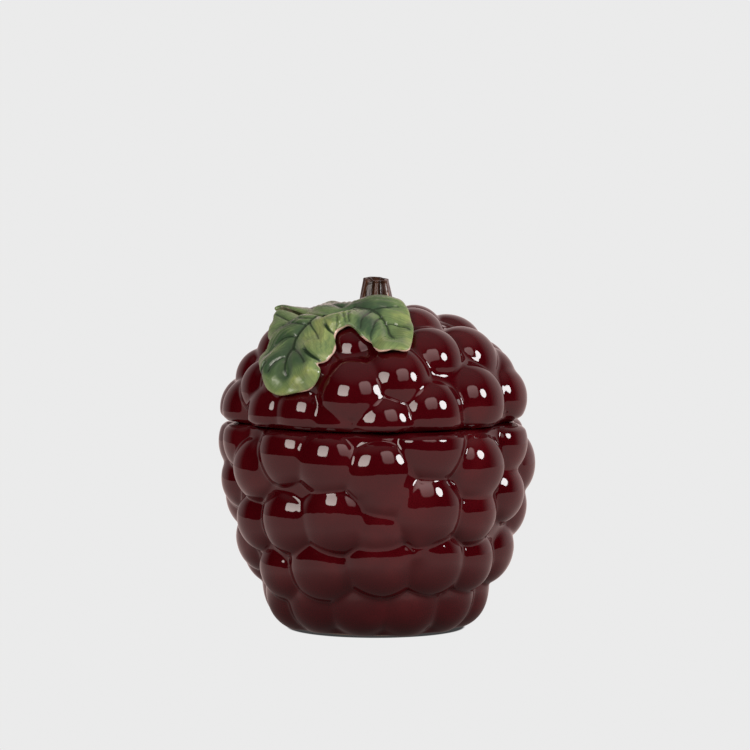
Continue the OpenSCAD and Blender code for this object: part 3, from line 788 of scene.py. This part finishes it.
def bareClay():
    material, tree = newMaterial("bareClay")
    place = objectPlace(tree)
    grain = noiseOf(tree, place, clayLook["grain"], 3, 0.7).outputs["Fac"]
    specks = rampOf(tree, grain, *clayLook["speckTones"], (0.0, clayLook["speckShare"]))
    colour = mixColour(tree, specks, clayLook["body"], clayLook["speck"])
    shader = addNode(tree, "ShaderNodeBsdfPrincipled",
                     {"Base Color": colour, "Roughness": clayLook["roughness"],
                      "Normal": bumpOf(tree, grain, clayLook["bump"], clayLook["bumpShare"])})
    finishMaterial(tree, shader)
    return material


collar = {"wall": 4 * mm, "bevel": 0.9 * mm}
foot = {"wall": 4.5 * mm, "bevel": 0.35 * mm}


def ringPiece(nodeName, pieceName, form, bodyName, material):
    low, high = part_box(nodeName)
    inner = high.x - form["wall"]
    corners = [(inner, low.z), (high.x, low.z), (high.x, high.z), (inner, high.z)]
    piece = latheForm(pieceName, roundedProfile(corners, form["bevel"]))
    piece.data.materials.append(material)
    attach(piece, bodyName)
    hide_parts(nodeName)
    print(pieceName, "made")


ringPiece("locating_ring", "collarRing", collar, "lid_ring", glaze)
ringPiece("foot_ring", "footRing", foot, "pot", bareClay())

# floor and studio: none of it belongs to the pot
studio = {"paper": (0.83, 0.83, 0.83), "seenReach": 0.3, "backdrop": 6.0,
          "contact": (32.4 * mm, 33.6 * mm), "contactShade": 0.06,
          "floor": (0.74, 0.56, 0.53), "floorReach": 0.8, "floorDrop": 0.5 * mm,
          "shade": (34 * mm, 120 * mm), "nearShade": 0.25}


def glowMaterial(name, colour, strengthOf=lambda tree: 1.0):
    material, tree = newMaterial(name)
    shader = addNode(tree, "ShaderNodeEmission", {"Color": (*colour, 1), "Strength": strengthOf(tree)})
    finishMaterial(tree, shader)
    return material


def axisDistance(tree):
    place = addNode(tree, "ShaderNodeTexCoord").outputs["Object"]
    return lengthOf(tree, vectorOf(tree, "MULTIPLY", place, (1, 1, 0)))


def stageMesh(name, points, faces, material, seen):
    mesh = bpy.data.meshes.new(name)
    mesh.from_pydata(points, [], faces)
    mesh.materials.append(material)
    thing = linkObject(name, mesh)
    thing.visible_camera = seen
    for way in ("diffuse", "glossy", "transmission", "volume_scatter", "shadow"):
        setattr(thing, "visible_" + way, not seen)
    return thing


def disc(radius, height, sides=96):
    ring = [(radius * math.cos(a), radius * math.sin(a), height)
            for a in (2 * math.pi * k / sides for k in range(sides))]
    return [(0, 0, height)] + ring, [(0, 1 + k, 1 + (k + 1) % sides) for k in range(sides)]


contact = glowMaterial("contactShade", studio["paper"], lambda tree: rampOf(
    tree, axisDistance(tree), *studio["contact"], (studio["contactShade"], 1.0)))
points, faces = disc(studio["seenReach"], 0)
stageMesh("floorSeen", points, faces, contact, True)

bounce = glowMaterial("floorBounce", studio["floor"], lambda tree: rampOf(
    tree, axisDistance(tree), *studio["shade"], (studio["nearShade"], 1.0)))
points, faces = disc(studio["floorReach"], -studio["floorDrop"])
stageMesh("floorBounce", points, faces, bounce, False)


def domeMesh(name, radius, material, seen):
    rings, sides = 24, 48
    points = [(radius * math.sin(math.pi * i / rings) * math.cos(2 * math.pi * k / sides),
               radius * math.sin(math.pi * i / rings) * math.sin(2 * math.pi * k / sides),
               radius * math.cos(math.pi * i / rings)) for i in range(rings + 1) for k in range(sides)]
    stageMesh(name, points, stackedQuads(rings + 1, sides), material, seen)


domeMesh("backdropSeen", studio["backdrop"], glowMaterial("paper", studio["paper"]), True)

# the room round the pot: a pale wall behind it, more of it on the right, and a faint ceiling;
# each has its direction, how near that direction it begins and is full, and how bright it gets
room = {"radius": 3.0, "colour": (1.0, 0.78, 0.76), "walls": [((0.5, 0.866, 0), (0.3, 0.9), 0.8),
                                                              ((-0.5, 0.866, 0), (0.55, 0.98), 0.5),
                                                              ((0, 0, 1), (0.6, 1.0), 0.3)]}


def roomGlow(tree):
    place = addNode(tree, "ShaderNodeTexCoord").outputs["Object"]
    glow = None
    for direction, limits, brightness in room["walls"]:
        way = tuple(v / room["radius"] for v in direction)
        lean = vectorOf(tree, "DOT_PRODUCT", place, way, "Value")
        wall = rampOf(tree, lean, *limits, (0.0, brightness))
        glow = mathOf(tree, "MAXIMUM", glow, wall) if glow else wall
    return glow


domeMesh("roomBounce", room["radius"], glowMaterial("roomGlow", room["colour"], roomGlow), False)

# bearing and climb of each light in degrees, its distance, width and height, how bright it looks at its lower
# and its upper edge, and where its edge begins to soften
lights = {
    "leftBox": {"bearing": -35, "climb": 27, "distance": 1.3, "size": (0.66, 0.66), "colour": (1, 0.92, 0.87),
                "low": 9.5, "high": 7.0, "soft": 0.8},
    "rightBox": {"bearing": 27, "climb": 35, "distance": 1.3, "size": (0.78, 0.9), "colour": (1, 0.74, 0.72),
                 "low": 1.4, "high": 3.4, "soft": 0.6},
}
spot = {"bearing": 60, "climb": 25, "distance": 1.3, "size": (0.4, 0.5), "brightness": 20.0}
lookAt = Vector((0, 0, 62 * mm))
darkness = (0.012, 0.009, 0.009)


def placeLight(thing, facts):
    bearing, climb = math.radians(facts["bearing"]), math.radians(facts["climb"])
    way = Vector((math.sin(bearing) * math.cos(climb), -math.cos(bearing) * math.cos(climb), math.sin(climb)))
    thing.location = lookAt + facts["distance"] * way
    thing.rotation_euler = (lookAt - thing.location).to_track_quat("-Z", "Y").to_euler()


def softBox(name, facts):
    wide, tall = facts["size"]

    def glow(tree):
        place = addNode(tree, "ShaderNodeTexCoord").outputs["Object"]
        share = vectorOf(tree, "MULTIPLY", place, (2 / wide, 2 / tall, 0))
        reach = lengthOf(tree, vectorOf(tree, "MULTIPLY", share, share))
        height = addNode(tree, "ShaderNodeSeparateXYZ", {0: share}).outputs["Y"]
        return mathOf(tree, "MULTIPLY", rampOf(tree, reach, facts["soft"], 1.0, (1.0, 0.0)),
                      rampOf(tree, height, -1, 1, (facts["low"], facts["high"])))

    corners = [(x * wide / 2, y * tall / 2, 0) for x, y in ((-1, -1), (1, -1), (1, 1), (-1, 1))]
    box = stageMesh(name, corners, [(0, 1, 2, 3)], glowMaterial(name, facts["colour"], glow), False)
    placeLight(box, facts)


for name, facts in lights.items():
    softBox(name, facts)
lamp = bpy.data.lights.new("rightSpot", "AREA")
lamp.shape = "ELLIPSE"
lamp.size, lamp.size_y = spot["size"]
area = math.pi / 4 * lamp.size * lamp.size_y
lamp.energy = spot["brightness"] * math.pi * area  # watts for that radiance
rightSpot = bpy.data.objects.new("rightSpot", lamp)
bpy.context.scene.collection.objects.link(rightSpot)
placeLight(rightSpot, spot)
rightSpot.visible_camera = False

world = bpy.data.worlds.new("darkRoom")
bpy.context.scene.world = world
world.use_nodes = True
world.node_tree.nodes["Background"].inputs["Color"].default_value = (*darkness, 1)
world.node_tree.nodes["Background"].inputs["Strength"].default_value = 1.0
print("studio set")
